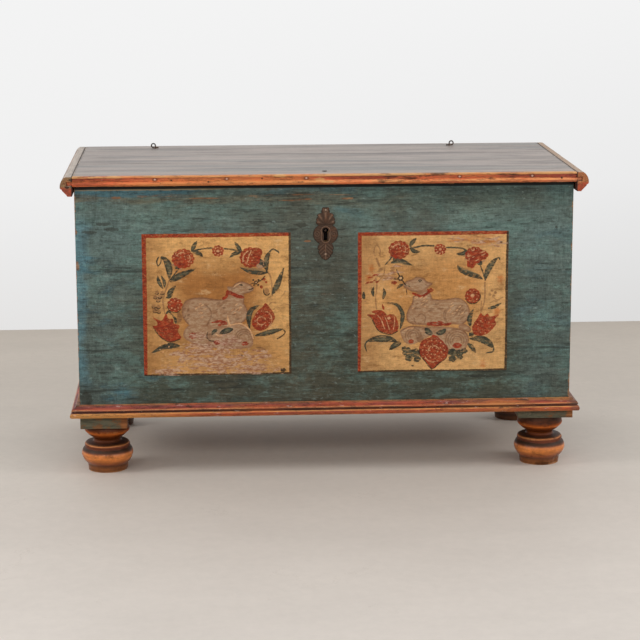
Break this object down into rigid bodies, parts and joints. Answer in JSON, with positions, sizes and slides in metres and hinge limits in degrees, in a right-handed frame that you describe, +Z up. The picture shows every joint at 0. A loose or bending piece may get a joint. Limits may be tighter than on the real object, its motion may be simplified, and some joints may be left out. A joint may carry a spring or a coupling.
{
  "type": "blanket chest",
  "caption": "Painted blanket chest of dovetailed boards with a moulded base, turned bun feet, a hinged plank lid between end cleats and an iron lock.",
  "frame": {"origin": "on the floor under the middle of the lid", "axes": "+X to the right along the front, +Y from the front to the back, +Z up"},
  "size_m": [1.264, 0.613, 0.7513],
  "materials": {
    "case_paint": "worn matt blue-green paint over pine, bare inside",
    "moulding_paint": "worn orange-red paint",
    "lid_paint": "greyed, rubbed paint with an old polish",
    "cleat_wood": "worn paint, pale rubbed wood on top",
    "block_paint": "worn dark green paint",
    "foot_varnish": "red-brown paint under varnish",
    "bare_wood": "bare aged pine",
    "browned_iron": "forged iron, browned",
    "iron": "forged iron, dark"
  },
  "bodies": {
    "case": {"front_board": "case_paint", "back_board": "case_paint", "side_board_left": "case_paint", "side_board_right": "case_paint", "floor_plank_front": "bare_wood", "floor_plank_middle": "bare_wood", "floor_plank_back": "bare_wood", "floor_nails": "iron", "base_moulding_front": "moulding_paint", "base_moulding_left": "moulding_paint", "base_moulding_right": "moulding_paint", "moulding_brads": "iron", "foot_block_front_left": "block_paint", "foot_block_front_right": "block_paint", "foot_block_back_left": "block_paint", "foot_block_back_right": "block_paint", "bun_foot_front_left": "foot_varnish", "bun_foot_front_right": "foot_varnish", "bun_foot_back_left": "foot_varnish", "bun_foot_back_right": "foot_varnish", "foot_block_nails": "iron", "hinge_eye_case_left": "iron", "hinge_eye_case_right": "iron", "lock_plate": "iron", "lock_case": "iron", "lock_rivets": "iron", "lock_nails": "iron", "lock_ward": "iron", "key_post": "iron", "bolt_guides": "iron", "lock_spring": "iron", "escutcheon": "browned_iron", "escutcheon_nails": "iron"},
    "lid": {"lid_plank_front": "lid_paint", "lid_plank_middle": "lid_paint", "lid_plank_back": "lid_paint", "lid_moulding_front": "moulding_paint", "lid_moulding_nails": "iron", "lid_cleat_left": "cleat_wood", "lid_cleat_right": "cleat_wood", "hinge_eye_lid_left": "iron", "hinge_eye_lid_right": "iron", "lock_staple": "iron"},
    "lock_bolt": {"lock_bolt": "iron"}
  },
  "joints": [
    {"name": "lid_hinge", "type": "hinge", "parent": "case", "child": "lid", "pos_m": [0, 0.28995, 0.703], "axis": [-1, 0, 0], "range_deg": [0, 100]},
    {"name": "lock_bolt_slide", "type": "slide", "parent": "case", "child": "lock_bolt", "axis": [1, 0, 0], "range_m": [0, 0.016]}
  ]
}
